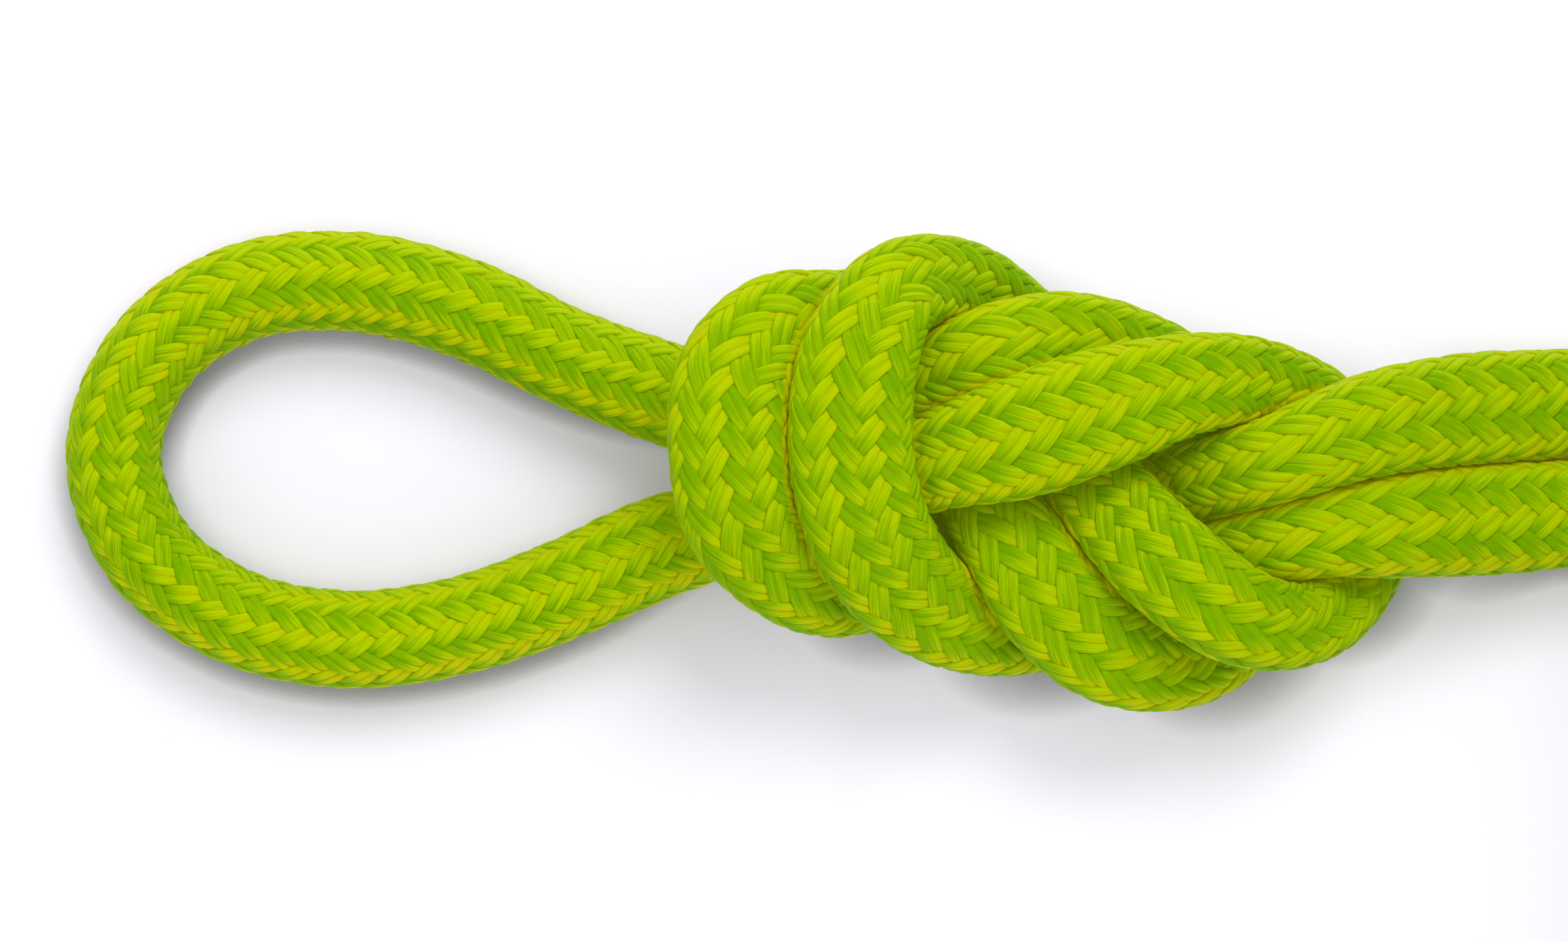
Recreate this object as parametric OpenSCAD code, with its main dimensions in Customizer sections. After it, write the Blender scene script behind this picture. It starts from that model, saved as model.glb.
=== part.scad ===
// Dynamic climbing rope with a figure-eight loop tied near one end.
// The stored length lies behind the knot as a wrapped hank.
// Millimetres, +Z up, the rope lies on the plane Z = 0.
// The origin is the centre of the loop's eye, on that plane.

/* [Rope] */
// Diameter of the rope
rope_d = 10; // [8.5:0.1:11]
// Thickness of the braided sheath
sheath_t = 1; // [0.8:0.05:1.1]
// Share of its free width that the rope keeps where the knot squeezes it
knot_squeeze = 0.88; // [0.8:0.01:0.88]
// Length of the loop's eye, against a hand-sized one
eye_stretch = 1; // [0.85:0.01:1.6]
// Flat sides around the sheath
sheath_sides = 12; // [8:2:16]
// Flat sides around a core strand
core_sides = 6; // [6:1:8]

/* [Ends] */
// Length of the sleeve that is shrunk on each end
sleeve_len = 10; // [6:0.5:12]
// Wall thickness of the end sleeve
sleeve_t = 0.35; // [0.2:0.05:0.45]
// Thickness of the melted seal on each end
seal_t = 1.5; // [0.8:0.1:2]

/* [Hank] */
// Straight length of the hank's runs
run_len = 156; // [150:2:200]
// Turns of rope side by side in one layer
turns_wide = 4; // [3:1:5]
// Layers of turns on each other
layers = 12; // [8:1:14]
// Turns of the rope's last metres around the waist
wraps = 5; // [4:1:6]

/* [Hidden] */
$fn = 64;
k = rope_d / 10;
gap = 0.15;

// Centre line from the tail's end through the knot to the hank, for a 10 mm rope:
// x, y, z, half width across, half height. Chosen by hand, strand by strand.
ROUTE = [
    // tail, over the lower strands
    [126, -4, 5.6, 5, 5], [115, -4, 5.6, 5.2, 5], [108, -4.4, 6.1, 5.6, 4.9],
    [100.5, -4.8, 8.7, 5.7, 4.7], [93, -5.4, 12.4, 5.2, 4.5], [86, -6.2, 13.4, 4.5, 4.4],
    [80, -7.8, 11.2, 4.3, 4.4], [73.5, -10.2, 7.2, 4.3, 4.1],
    // under the knot's right side
    [66, -13, 4.2, 4.7, 4], [58.5, -15.2, 5.4, 4.9, 4],
    // second band, over the top
    [51.8, -14.6, 10.5, 5.1, 4], [46, -10.7, 16.3, 5.8, 3.9], [42.2, -4, 20.3, 6.2, 3.7],
    [41, 3.5, 21.5, 6.2, 3.7], [41.8, 10.8, 20.7, 5.9, 3.8], [44.9, 16.8, 17.6, 5, 4.1],
    [51.1, 18.4, 10.2, 4.5, 4.2],
    // back under the diagonal strands
    [56.8, 15.4, 4.5, 4.3, 4], [61, 10.5, 4, 4.6, 3.9], [61.7, 5.4, 6.2, 4.7, 3.9],
    [63.8, 0.5, 10.4, 5, 4],
    // outer of the two lower curves
    [67.3, -4.3, 15.3, 5.1, 4.1], [72, -9.3, 18.8, 5.3, 4], [78, -13.7, 18, 5, 4.2],
    [84.3, -15, 13, 4.4, 4.3], [89.1, -12.2, 7.5, 4.6, 4.3],
    // under both strands on the right
    [91.6, -7, 4.1, 4.8, 4], [91.5, -0.5, 4, 4.8, 4], [87.7, 5.1, 5.7, 4.6, 4.2],
    // lower diagonal strand, over the top
    [81.5, 8.4, 11.3, 4.4, 4.3], [74, 8.4, 17.5, 5, 4], [65.5, 6, 20.7, 6, 3.8],
    [57, 3.1, 20.4, 6, 3.8],
    // under both bands
    [49.3, 0.9, 16.8, 4.9, 4.1], [42.5, -1.7, 11.7, 4.6, 4.1], [36, -3.3, 9, 4.5, 4.3],
    // the loop
    [29, -5.4, 7.7, 4.9, 4.7], [22, -7.7, 6.3, 5.1, 4.8], [12, -12.1, 5.2, 5, 5],
    [2, -15.4, 5, 4.9, 5], [-9, -16.6, 5, 4.9, 5], [-20.2, -14, 5, 4.8, 5],
    [-28.4, -7.5, 5, 4.8, 5], [-31.4, 1.5, 5, 4.8, 5], [-27.7, 11.3, 5, 4.8, 5],
    [-19.3, 17.3, 5, 4.9, 5], [-8, 18.6, 5, 5, 5], [3, 16, 5, 5, 5], [13, 11.3, 5.2, 4.9, 5],
    [22, 7.9, 6.3, 5.1, 4.8], [29, 5.7, 7.7, 5, 4.6],
    // under both bands
    [36, 5.4, 9, 4.5, 4.3], [42.5, 6.6, 10.6, 4.5, 4.2],
    // upper diagonal strand
    [49, 8.9, 13.2, 4.4, 4.1], [55.4, 11.4, 16, 5, 4], [61.6, 12, 14.3, 5.5, 4],
    [68.4, 10.6, 10, 5.4, 4],
    // down and under to the lower edge
    [74.6, 7.2, 5, 5.2, 4], [80.2, 1.5, 3.9, 4.8, 3.8], [82.6, -5, 3.9, 4.7, 3.8],
    [81.8, -12, 4, 4.6, 3.9], [77.4, -17.2, 5.8, 4.5, 4.3], [72.3, -18.9, 9.5, 4.7, 4.4],
    // inner of the two lower curves
    [65.8, -17.2, 13, 5.4, 4.1], [60.5, -12.4, 14.6, 5.6, 4], [57, -7.2, 13.9, 5.2, 4],
    // under the diagonal strands and the second band
    [54, -2.7, 10.6, 4.8, 4], [51.3, 2.6, 6.7, 4.7, 3.9], [49.6, 8, 4.2, 4.6, 3.9],
    [47, 12.7, 4.4, 4.5, 4], [43.3, 15, 7.4, 4.4, 4.2],
    // first band, over the top
    [38.5, 15.2, 12, 4.4, 4.3], [33.6, 13.6, 16.2, 5.5, 4], [29.9, 8.6, 19.3, 6.1, 3.8],
    [29.4, 2, 20.2, 6.1, 3.7], [30.5, -4.2, 18.8, 6, 3.8], [34.7, -9.7, 14.6, 5.1, 4],
    // under the knot
    [40, -11.9, 8.8, 4.5, 4.3], [46, -10.2, 4.6, 4.7, 4], [53, -6.7, 4, 4.8, 3.9],
    [60, -4.9, 4, 4.8, 3.9], [66.5, -3.6, 4.3, 4.7, 3.9],
    // standing part, out of the knot and on to the hank
    [72.3, -1.7, 8.2, 4.4, 4.1], [77.4, -0.4, 12.6, 4.2, 4.2], [83, 1.3, 15.9, 4.5, 4.3],
    [91, 4.1, 14, 5.2, 4.4], [101, 5.8, 8.8, 5.7, 4.7], [110, 6.4, 5.2, 5.6, 4.9],
    [119, 7.5, 5, 5.1, 5], [127.6, 11.2, 5, 5, 5], [133.6, 15.6, 5, 5, 5], [138.2, 19.9, 5, 5, 5],
    [141.3, 25.5, 5, 5, 5]];

// Free end, from the last turn around the waist to the end that lies on the hank.
FREE = [
    [0.2, -14.5, 120.7, 5, 5], [4, -14.5, 120.7, 5, 5], [10, -18.5, 120.2, 5, 5],
    [20, -22.8, 118.6, 5, 5], [32, -25.5, 117.4, 5, 5], [45, -28, 117, 5, 5],
    [58, -29, 117, 5, 5], [78, -29, 117, 5, 5]];

// Hank
hank_x = 190 * k;
fold_r = 26 * k;
pitch = 29 / 3 * k;
rise = 9.2 * k;
out_r = fold_r + (turns_wide - 1) * pitch + rope_d / 2;
hank_h = (layers - 1) * rise + rope_d;
waist_x = hank_x + run_len / 2;
waist_l = wraps * rope_d;
waist_w = out_r - 18 * k;
waist_lo = rope_d;
waist_hi = waist_lo + (layers - 1) * 8.7 * k + rope_d;
waist_r = 15 * k;
run_in = [141.3 * k, 25.5 * k];

function clamp01(v) = min(1, max(0, v));
function ease(v) = v * v * (3 - 2 * v);

// The knot's squeeze grows and fades over a rope's width at either side.
function squeeze(x) = 1 - (1 - knot_squeeze) * clamp01((x - 22) / 10) * clamp01((120 - x) / 8);
function eye_x(x) = x < 29 ? 29 - (29 - x) * eye_stretch : x;
function sized(p) = [eye_x(p[0]) * k, p[1] * k, p[2] * k, p[3] * k * squeeze(p[0]),
    p[4] * k * squeeze(p[0])];
function place(p) = [p[0], p[1], p[2]];
function unit(v) = v / norm(v);

// Direction of the route at a point, weighed by the lengths of the two steps beside it.
function step(r, i) = place(r[i + 1]) - place(r[i]);
function along(r, i) =
    i == 0 ? unit(step(r, 0)) :
    i == len(r) - 1 ? unit(step(r, i - 1)) :
    let (a = step(r, i - 1), b = step(r, i))
    unit(b / norm(b) * norm(a) + a / norm(a) * norm(b));
function across(t) = unit([-t[1], t[0], 0]);

// One ring of a strand inside the rope: off is its centre and size its half width,
// both as shares of the space there, and wall is what lies between it and the surface.
function ring(r, i, sides, wall, off, size) =
    let (t = along(r, i), w = across(t), h = cross(t, w), a = r[i][3] - wall, b = r[i][4] - wall)
    [for (j = [0 : sides - 1])
        place(r[i]) + w * a * (off[0] + size * cos(360 * j / sides))
            + h * b * (off[1] + size * sin(360 * j / sides))];

function skin(rings, sides, base, out) = [
    for (i = [0 : rings - 2], j = [0 : sides - 1])
    let (a = base + i * sides + j, b = base + i * sides + (j + 1) % sides)
    each out ? [[a, a + sides, b + sides], [a, b + sides, b]]
             : [[a, b + sides, a + sides], [a, b, b + sides]]];

// A solid strand along a route.
module strand(route, sides, wall, off, size) {
    n = len(route);
    points = [for (i = [0 : n - 1]) each ring(route, i, sides, wall, off, size)];
    start = [for (j = [1 : sides - 2]) [0, j, j + 1]];
    end = [for (j = [1 : sides - 2]) [(n - 1) * sides, (n - 1) * sides + j + 1, (n - 1) * sides + j]];
    polyhedron(points = points, faces = concat(skin(n, sides, 0, true), start, end), convexity = 10);
}

// A hollow sheath along a route, open at both ends.
module tube(route, sides, wall) {
    n = len(route);
    m = n * sides;
    points = [
        for (i = [0 : n - 1]) each ring(route, i, sides, 0, [0, 0], 1),
        for (i = [0 : n - 1]) each ring(route, i, sides, wall, [0, 0], 1)];
    start = [for (j = [0 : sides - 1]) let (q = (j + 1) % sides)
        each [[j, q, m + q], [j, m + q, m + j]]];
    last = (n - 1) * sides;
    end = [for (j = [0 : sides - 1]) let (q = (j + 1) % sides)
        each [[last + j, m + last + q, last + q], [last + j, m + last + j, m + last + q]]];
    polyhedron(
        points = points,
        faces = concat(skin(n, sides, 0, true), skin(n, sides, m, false), start, end),
        convexity = 10);
}

LINE = [for (p = ROUTE) sized(p)];
FREE_LINE = [for (p = FREE) [waist_x + waist_l / 2 + p[0] * k, p[1] * k,
    (p[2] - 120.7) * k + waist_hi + rope_d / 2, p[3] * k, p[4] * k]];
TAIL = place(LINE[0]);
LAST = place(FREE_LINE[len(FREE) - 1]);

// Seven strands fill the sheath: one in the middle and six around it.
module core_strand(n) {
    a = 60 * n;
    off = n == 1 ? [0, 0] : [0.63 * cos(a), 0.63 * sin(a)];
    color("ivory") strand(LINE, core_sides, sheath_t + gap, off, 0.295);
}

module sheath() {
    color("yellowgreen") tube(LINE, sheath_sides, sheath_t);
}

module id_thread() {
    color("red") strand(LINE, 4, sheath_t + gap, [0.88 * cos(30), 0.88 * sin(30)], 0.07);
}

module end_sleeve() {
    rotate([0, 90, 0]) difference() {
        cylinder(h = sleeve_len, r = rope_d / 2 + gap + sleeve_t);
        translate([0, 0, -1]) cylinder(h = sleeve_len + 2, r = rope_d / 2 + gap);
    }
}

module end_seal() {
    r = rope_d / 2;
    rotate([0, 90, 0]) rotate_extrude()
        polygon([[0, 0], [r, 0], [r, seal_t * 0.4], [r * 0.94, seal_t * 0.75],
            [r * 0.8, seal_t], [0, seal_t]]);
}

module tail_end_sleeve() {
    color("darkolivegreen") translate(TAIL - [sleeve_len, 0, 0]) end_sleeve();
}

module tail_end_seal() {
    color("olive") translate(TAIL + [0.1, 0, 0]) end_seal();
}

// Outline of the hank from above: round ends, sides drawn in towards the waist.
function side_y(u) = out_r + (waist_w - out_r) * ease(clamp01(u));
module outline() {
    run = (run_len - waist_l) / 2;
    steps = 8;
    left = [for (i = [0 : steps]) [hank_x + run * i / steps, side_y(i / steps)]];
    right = [for (i = [0 : steps]) [hank_x + run_len - run * (steps - i) / steps,
        side_y((steps - i) / steps)]];
    top = concat(left, right);
    translate([hank_x, 0]) circle(r = out_r, $fn = 96);
    translate([hank_x + run_len, 0]) circle(r = out_r, $fn = 96);
    polygon(concat(top, [for (i = [len(top) - 1 : -1 : 0]) [top[i][0], -top[i][1]]]));
}

// Section of the waist, grown by g on every side.
module waist(g) {
    r = waist_r + g;
    w = waist_w + g;
    lo = waist_lo - g;
    hi = waist_hi + g;
    translate([-w, lo + r]) square([2 * w, hi - lo - 2 * r]);
    translate([-w + r, lo]) square([2 * w - 2 * r, hi - lo]);
    for (y = [-w + r, w - r], z = [lo + r, hi - r]) translate([y, z]) circle(r = r);
}

module waist_bar(g, l) {
    translate([waist_x - l / 2, 0, 0]) rotate([90, 0, 90]) linear_extrude(l) waist(g);
}

module hank() {
    turn = atan2(run_in[0] - hank_x, -run_in[1]);
    color("yellowgreen") union() {
        difference() {
            linear_extrude(hank_h) outline();
            translate([waist_x - waist_l / 2, -2 * out_r, -1])
                cube([waist_l, 4 * out_r, hank_h + 2]);
            // the standing part runs in beside the lowest layer
            translate([run_in[0], run_in[1], -1]) rotate([0, 0, turn])
                translate([-0.3, -40 * k, 0]) cube([60 * k, 45.3 * k, rope_d + 1.3]);
        }
        waist_bar(0, waist_l + 0.2);
    }
}

// The rope's last metres, wound side by side around the waist.
module hank_wrap() {
    color("yellowgreen") difference() {
        waist_bar(rope_d, waist_l - 0.2);
        waist_bar(gap, waist_l + 2);
    }
}

module free_end() {
    color("yellowgreen") strand(FREE_LINE, sheath_sides, 0, [0, 0], 1);
}

module free_end_sleeve() {
    color("darkolivegreen") translate(LAST - [sleeve_len, 0, 0]) end_sleeve();
}

module free_end_seal() {
    color("olive") translate(LAST + [0.1, 0, 0]) end_seal();
}

sheath();
core_strand(1);  // core_strand_1
core_strand(2);  // core_strand_2
core_strand(3);  // core_strand_3
core_strand(4);  // core_strand_4
core_strand(5);  // core_strand_5
core_strand(6);  // core_strand_6
core_strand(7);  // core_strand_7
id_thread();
tail_end_sleeve();
tail_end_seal();
hank();
hank_wrap();
free_end();
free_end_sleeve();
free_end_seal();
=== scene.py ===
# A climbing rope with a figure-eight on a bight; the length out of view is wound into a hank.
import math

import bpy
import numpy as np
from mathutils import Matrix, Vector


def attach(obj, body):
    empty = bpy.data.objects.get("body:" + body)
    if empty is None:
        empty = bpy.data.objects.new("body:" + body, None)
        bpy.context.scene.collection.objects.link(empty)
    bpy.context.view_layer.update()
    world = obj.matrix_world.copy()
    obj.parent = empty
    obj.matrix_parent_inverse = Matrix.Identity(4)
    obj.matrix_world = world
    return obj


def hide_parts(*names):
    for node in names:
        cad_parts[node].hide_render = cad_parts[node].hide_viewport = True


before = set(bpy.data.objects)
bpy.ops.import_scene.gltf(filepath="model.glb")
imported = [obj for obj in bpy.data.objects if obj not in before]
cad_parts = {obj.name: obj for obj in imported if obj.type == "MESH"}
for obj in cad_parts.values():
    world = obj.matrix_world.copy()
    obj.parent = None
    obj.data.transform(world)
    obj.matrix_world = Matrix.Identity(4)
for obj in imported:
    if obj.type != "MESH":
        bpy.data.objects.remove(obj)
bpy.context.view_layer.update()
RNG = np.random.default_rng(7)
RADIUS = 0.005

# ---------------------------------------------------------------- route, in metres
# centre x, y, z, half width, half height: the tail's end, the knot, the eye, the knot again
# and the standing part up to the hank, as in part.scad
ROUTE = np.array([
    [0.126, -0.004, 0.0056, 0.005, 0.005], [0.115, -0.004, 0.0056, 0.0052, 0.005],
    [0.108, -0.0044, 0.0061, 0.0056, 0.0049], [0.1005, -0.0048, 0.0087, 0.0057, 0.0047],
    [0.093, -0.0054, 0.0124, 0.0052, 0.0045], [0.086, -0.0062, 0.0134, 0.0045, 0.0044],
    [0.08, -0.0078, 0.0112, 0.0043, 0.0044], [0.0735, -0.0102, 0.0072, 0.0043, 0.0041],
    # down and under
    [0.066, -0.013, 0.0042, 0.0047, 0.004], [0.0585, -0.0152, 0.0054, 0.0049, 0.004],
    # second band
    [0.0518, -0.0146, 0.0105, 0.0051, 0.004], [0.046, -0.0107, 0.0163, 0.0058, 0.0039],
    [0.0422, -0.004, 0.0203, 0.0062, 0.0037], [0.041, 0.0035, 0.0215, 0.0062, 0.0037],
    [0.0418, 0.0108, 0.0207, 0.0059, 0.0038], [0.0449, 0.0168, 0.0176, 0.005, 0.0041],
    [0.0511, 0.0184, 0.0102, 0.0045, 0.0042],
    # back under the diagonal strands
    [0.0568, 0.0154, 0.0045, 0.0043, 0.004], [0.061, 0.0105, 0.004, 0.0046, 0.0039],
    [0.0617, 0.0054, 0.0062, 0.0047, 0.0039], [0.0638, 0.0005, 0.0104, 0.005, 0.004],
    # outer of the two lower curves
    [0.0673, -0.0043, 0.0153, 0.0051, 0.0041], [0.072, -0.0093, 0.0188, 0.0053, 0.004],
    [0.078, -0.0137, 0.018, 0.005, 0.0042], [0.0843, -0.015, 0.013, 0.0044, 0.0043],
    [0.0891, -0.0122, 0.0075, 0.0046, 0.0043],
    # under both strands on the right
    [0.0916, -0.007, 0.0041, 0.0048, 0.004], [0.0915, -0.0005, 0.004, 0.0048, 0.004],
    [0.0877, 0.0051, 0.0057, 0.0046, 0.0042],
    # lower diagonal strand, over the top
    [0.0815, 0.0084, 0.0113, 0.0044, 0.0043], [0.074, 0.0084, 0.0175, 0.005, 0.004],
    [0.0655, 0.006, 0.0207, 0.006, 0.0038], [0.057, 0.0031, 0.0204, 0.006, 0.0038],
    # under both bands
    [0.0493, 0.0009, 0.0168, 0.0049, 0.0041], [0.0425, -0.0017, 0.0117, 0.0046, 0.0041],
    [0.036, -0.0033, 0.009, 0.0045, 0.0043],
    # the loop
    [0.029, -0.0054, 0.0077, 0.0049, 0.0047], [0.022, -0.0077, 0.0063, 0.0051, 0.0048],
    [0.012, -0.0121, 0.0052, 0.005, 0.005], [0.002, -0.0154, 0.005, 0.0049, 0.005],
    [-0.009, -0.0166, 0.005, 0.0049, 0.005], [-0.0202, -0.014, 0.005, 0.0048, 0.005],
    [-0.0284, -0.0075, 0.005, 0.0048, 0.005], [-0.0314, 0.0015, 0.005, 0.0048, 0.005],
    [-0.0277, 0.0113, 0.005, 0.0048, 0.005], [-0.0193, 0.0173, 0.005, 0.0049, 0.005],
    [-0.008, 0.0186, 0.005, 0.005, 0.005], [0.003, 0.016, 0.005, 0.005, 0.005],
    [0.013, 0.0113, 0.0052, 0.0049, 0.005], [0.022, 0.0079, 0.0063, 0.0051, 0.0048],
    [0.029, 0.0057, 0.0077, 0.005, 0.0046],
    # under both bands
    [0.036, 0.0054, 0.009, 0.0045, 0.0043], [0.0425, 0.0066, 0.0106, 0.0045, 0.0042],
    # upper diagonal strand
    [0.049, 0.0089, 0.0132, 0.0044, 0.0041], [0.0554, 0.0114, 0.016, 0.005, 0.004],
    [0.0616, 0.012, 0.0143, 0.0055, 0.004], [0.0684, 0.0106, 0.01, 0.0054, 0.004],
    # down and under to the lower edge
    [0.0746, 0.0072, 0.005, 0.0052, 0.004], [0.0802, 0.0015, 0.0039, 0.0048, 0.0038],
    [0.0826, -0.005, 0.0039, 0.0047, 0.0038], [0.0818, -0.012, 0.004, 0.0046, 0.0039],
    [0.0774, -0.0172, 0.0058, 0.0045, 0.0043], [0.0723, -0.0189, 0.0095, 0.0047, 0.0044],
    # inner of the two lower curves
    [0.0658, -0.0172, 0.013, 0.0054, 0.0041], [0.0605, -0.0124, 0.0146, 0.0056, 0.004],
    [0.057, -0.0072, 0.0139, 0.0052, 0.004],
    # under the diagonal strands and the second band
    [0.054, -0.0027, 0.0106, 0.0048, 0.004], [0.0513, 0.0026, 0.0067, 0.0047, 0.0039],
    [0.0496, 0.008, 0.0042, 0.0046, 0.0039], [0.047, 0.0127, 0.0044, 0.0045, 0.004],
    [0.0433, 0.015, 0.0074, 0.0044, 0.0042],
    # first band, over the top
    [0.0385, 0.0152, 0.012, 0.0044, 0.0043], [0.0336, 0.0136, 0.0162, 0.0055, 0.004],
    [0.0299, 0.0086, 0.0193, 0.0061, 0.0038], [0.0294, 0.002, 0.0202, 0.0061, 0.0037],
    [0.0305, -0.0042, 0.0188, 0.006, 0.0038], [0.0347, -0.0097, 0.0146, 0.0051, 0.004],
    # under the knot
    [0.04, -0.0119, 0.0088, 0.0045, 0.0043], [0.046, -0.0102, 0.0046, 0.0047, 0.004],
    [0.053, -0.0067, 0.004, 0.0048, 0.0039], [0.06, -0.0049, 0.004, 0.0048, 0.0039],
    [0.0665, -0.0036, 0.0043, 0.0047, 0.0039],
    # standing part, out of the knot and on to the hank
    [0.0723, -0.0017, 0.0082, 0.0044, 0.0041], [0.0774, -0.0004, 0.0126, 0.0042, 0.0042],
    [0.083, 0.0013, 0.0159, 0.0045, 0.0043], [0.091, 0.0041, 0.014, 0.0052, 0.0044],
    [0.101, 0.0058, 0.0088, 0.0057, 0.0047], [0.11, 0.0064, 0.0052, 0.0056, 0.0049],
    [0.119, 0.0075, 0.005, 0.0051, 0.005], [0.1276, 0.0112, 0.005, 0.005, 0.005],
    [0.1336, 0.0156, 0.005, 0.005, 0.005], [0.1382, 0.0199, 0.005, 0.005, 0.005],
    [0.1413, 0.0255, 0.005, 0.005, 0.005]])


def spline(p, steps):
    """Smooth curve through the points p, with its tangents weighed by the steps beside them."""
    n = len(p)
    gap = np.linalg.norm(p[1:, :3] - p[:-1, :3], axis=1)
    out = []
    for i in range(n - 1):
        d = gap[i]
        chord = p[i + 1] - p[i]
        m1 = m2 = chord
        if i > 0:
            b = gap[i - 1]
            m1 = d * (chord / d * b + (p[i] - p[i - 1]) / b * d) / (b + d)
        if i < n - 2:
            e = gap[i + 1]
            m2 = d * ((p[i + 2] - p[i + 1]) / e * d + chord / d * e) / (d + e)
        t = (np.arange(steps) / steps)[:, None]
        out.append((2 * t**3 - 3 * t**2 + 1) * p[i] + (t**3 - 2 * t**2 + t) * m1
                   + (3 * t**2 - 2 * t**3) * p[i + 1] + (t**3 - t**2) * m2)
    out.append(p[-1:])
    return np.vstack(out)


def lengths(p):
    """Arc length at each point."""
    return np.concatenate([[0], np.cumsum(np.linalg.norm(np.diff(p[:, :3], axis=0), axis=1))])


def resample(p, step):
    """The same line with its points at even distances of about one step."""
    s = lengths(p)
    n = max(2, int(round(s[-1] / step)) + 1)
    t = np.linspace(0, s[-1], n)
    return np.stack([np.interp(t, s, p[:, i]) for i in range(p.shape[1])], axis=1)


def smooth01(t):
    """From 0 to 1 without a corner at either end."""
    t = np.clip(t, 0, 1)
    return t * t * t * (10 - 15 * t + 6 * t * t)


# ---------------------------------------------------------------- hank, in metres
X0, X1, WAIST = 0.190, 0.346, 0.268         # centres of the two ends, and the waist between them
RADII = [0.055, 0.04533, 0.03567, 0.026]    # the four rings around an end
LAYERS = 12
RISE, RISE_WAIST = 0.0092, 0.0087           # from layer to layer, at the ends and at the waist
WAIST_LIFT = 0.010                          # the wrap holds the waist up by a rope's width
DRAWN_IN, DRAWN_OVER = 0.018, 0.050         # and draws the runs in by so much, over such a length
CLIMB_SWING = 0.0034                        # a turn that climbs swings clear of the one in its place
SWAY, BOB = 0.0006, 0.0005                  # how far the turns wander sideways and up
TURN_OFF = 0.210                            # where the last run leaves the top layer for the waist
STANDING_END = ROUTE[-1]


def place_no(n):
    """Which of the four rings and which layer the n-th turn lies in."""
    layer = n // 4
    i = n % 4
    return (i if layer % 2 == 0 else 3 - i), layer


def hank_turns():
    """Turns around both ends, in and out from layer to layer; each steps over at the near end."""
    pts = []
    total = LAYERS * 4
    phase = RNG.uniform(0, 6.28, (total + 1, 4))

    def run(xs, side, radius, level, n):
        w = phase[n]
        for x in xs:
            q = float(min(smooth01((x - X0) / DRAWN_OVER), smooth01((X1 - x) / DRAWN_OVER)))
            y = side * (radius - DRAWN_IN * q)
            z = RADIUS + RISE * level * (1 - q) + (WAIST_LIFT + RISE_WAIST * level) * q
            free = q * (1 - q) * 4
            y += side * SWAY * free * math.sin(x * 70 + w[0])
            z += BOB * free * math.sin(x * 60 + w[1]) if level else 0
            pts.append([x, y, z])

    def end(centre, a0, a1, r0, r1, l0, l1, n, steps):
        w = phase[n]
        for k in range(1, steps):
            t = k / steps
            a = a0 + (a1 - a0) * t
            # stepping over takes the middle part of the arc
            f = float(smooth01((t - 0.12) / 0.76))
            r = r0 + (r1 - r0) * f
            z = RADIUS + RISE * (l0 + (l1 - l0) * f)
            if l0 != l1:
                r += CLIMB_SWING * math.sin(math.pi * f) * (1 if r0 > RADII[2] else -1)
            free = math.sin(t * math.pi)
            r += SWAY * free * math.sin(a * 2 + w[2])
            z += BOB * free * math.sin(a * 3 + w[3]) if l0 else 0
            pts.append([centre + r * math.cos(a), r * math.sin(a), z])

    xs = np.linspace(X0, X1, 27)
    join = math.atan2(STANDING_END[1], STANDING_END[0] - X0)
    for n in range(total):
        i, layer = place_no(n)
        r = RADII[i]
        # quarter of the near end, from where the standing part comes in
        for k in range(1, 9):
            a = join + (math.pi / 2 - join) * k / 9
            pts.append([X0 + r * math.cos(a), r * math.sin(a), RADIUS + RISE * layer])
        if n == total - 1:
            run(xs[xs < TURN_OFF], 1, r, layer, n)
            break
        run(xs, 1, r, layer, n)
        end(X1, math.pi / 2, -math.pi / 2, r, r, layer, layer, n, 24)
        run(xs[::-1], -1, r, layer, n)
        j, upper = place_no(n + 1)
        end(X0, -math.pi / 2, join - 2 * math.pi, r, RADII[j], layer, upper, n, 18)
    return np.array(pts)


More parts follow.
